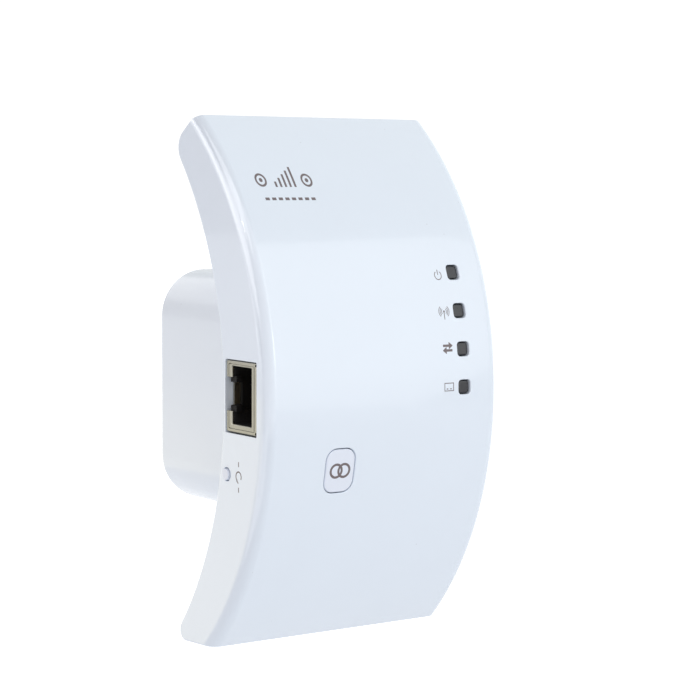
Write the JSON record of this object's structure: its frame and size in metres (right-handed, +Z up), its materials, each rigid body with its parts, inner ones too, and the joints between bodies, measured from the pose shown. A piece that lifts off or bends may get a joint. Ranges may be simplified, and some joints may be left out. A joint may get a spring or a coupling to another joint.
{
  "type": "wifi range extender",
  "caption": "Wall-plug wireless range extender: curved glossy cover, square plug block with two flat blades, side ethernet socket, pairing and reset buttons, column of status lights.",
  "frame": {"origin": "centre of the flat plug face, between the two blades", "axes": "+Y out of the plug face into the wall, so the cover faces -Y; +Z up; +X to the right of someone facing the cover"},
  "size_m": [0.0593, 0.069, 0.111],
  "materials": {
    "shell_white": "high gloss",
    "rear_white": "semi gloss",
    "button_white": "high gloss",
    "print_grey": "printed ink, satin",
    "window_smoked": "gloss, tinted",
    "jack_nickel": "satin nickel plate",
    "jack_plastic": "satin",
    "contact_gold": "gold plate",
    "blade_metal": "nickel plate",
    "screw_steel": "zinc plate",
    "board_green": "solder mask, satin",
    "board_tan": "bare laminate",
    "chip_black": "moulded, matt",
    "can_steel": "tin plate",
    "ferrite": "sintered, matt",
    "winding_tape": "tape, satin",
    "sleeve_black": "shrink sleeve, satin",
    "disc_blue": "dipped, gloss",
    "led_clear": "clear resin",
    "sheet_clear": "film, satin",
    "lead_red": "insulated wire",
    "lead_black": "insulated wire",
    "resistor_green": "lacquer, matt"
  },
  "bodies": {
    "casing": {"front_shell": "shell_white", "rear_shell": "rear_white", "plug_carrier": "rear_white", "blade_live": "blade_metal", "blade_neutral": "blade_metal", "light_pipe": "window_smoked", "ethernet_jack_shield": "jack_nickel", "ethernet_jack_housing": "jack_plastic", "ethernet_contact_1": "contact_gold", "ethernet_contact_2": "contact_gold", "ethernet_contact_3": "contact_gold", "ethernet_contact_4": "contact_gold", "ethernet_contact_5": "contact_gold", "ethernet_contact_6": "contact_gold", "ethernet_contact_7": "contact_gold", "ethernet_contact_8": "contact_gold", "main_board": "board_green", "wifi_chip": "chip_black", "flash_chip": "chip_black", "rf_shield": "can_steel", "crystal": "can_steel", "ethernet_transformer": "chip_black", "status_led_1": "led_clear", "status_led_2": "led_clear", "status_led_3": "led_clear", "status_led_4": "led_clear", "wps_switch_body": "jack_plastic", "reset_switch_body": "can_steel", "antenna_upper": "board_green", "antenna_lower": "board_green", "antenna_cable_upper": "lead_black", "antenna_cable_lower": "lead_black", "power_board": "board_tan", "transformer_core": "ferrite", "transformer_winding": "winding_tape", "input_capacitor_1": "sleeve_black", "input_capacitor_2": "sleeve_black", "output_capacitor": "sleeve_black", "y_capacitor": "disc_blue", "bridge_rectifier": "chip_black", "fuse_resistor": "resistor_green", "insulation_sheet": "sheet_clear", "dc_lead_positive": "lead_red", "dc_lead_negative": "lead_black", "case_screw_1": "screw_steel", "case_screw_2": "screw_steel", "case_screw_3": "screw_steel", "case_screw_4": "screw_steel", "board_screw_1": "screw_steel", "board_screw_2": "screw_steel", "board_screw_3": "screw_steel", "board_screw_4": "screw_steel", "power_board_screw_1": "screw_steel", "power_board_screw_2": "screw_steel"},
    "wps_button": {"wps_button": "button_white"},
    "wps_plunger": {"wps_switch_plunger": "jack_plastic"},
    "reset_button": {"reset_button": "button_white"},
    "reset_plunger": {"reset_switch_plunger": "jack_plastic"}
  },
  "joints": [
    {"name": "wps_button_press", "type": "slide", "parent": "casing", "child": "wps_button", "axis": [0, 1, 0], "range_m": [0, 0.0005], "stiffness_N_per_m": 1500},
    {"name": "wps_plunger_press", "type": "slide", "parent": "casing", "child": "wps_plunger", "axis": [0, 1, 0], "range_m": [0, 0.00025]},
    {"name": "reset_button_press", "type": "slide", "parent": "casing", "child": "reset_button", "axis": [1, 0, 0], "range_m": [0, 0.0005], "stiffness_N_per_m": 1500},
    {"name": "reset_plunger_press", "type": "slide", "parent": "casing", "child": "reset_plunger", "axis": [1, 0, 0], "range_m": [0, 0.00025]}
  ],
  "couplings": [
    {"joint": "wps_plunger_press", "follows": "wps_button_press", "ratio": 0.5},
    {"joint": "reset_plunger_press", "follows": "reset_button_press", "ratio": 0.5}
  ]
}
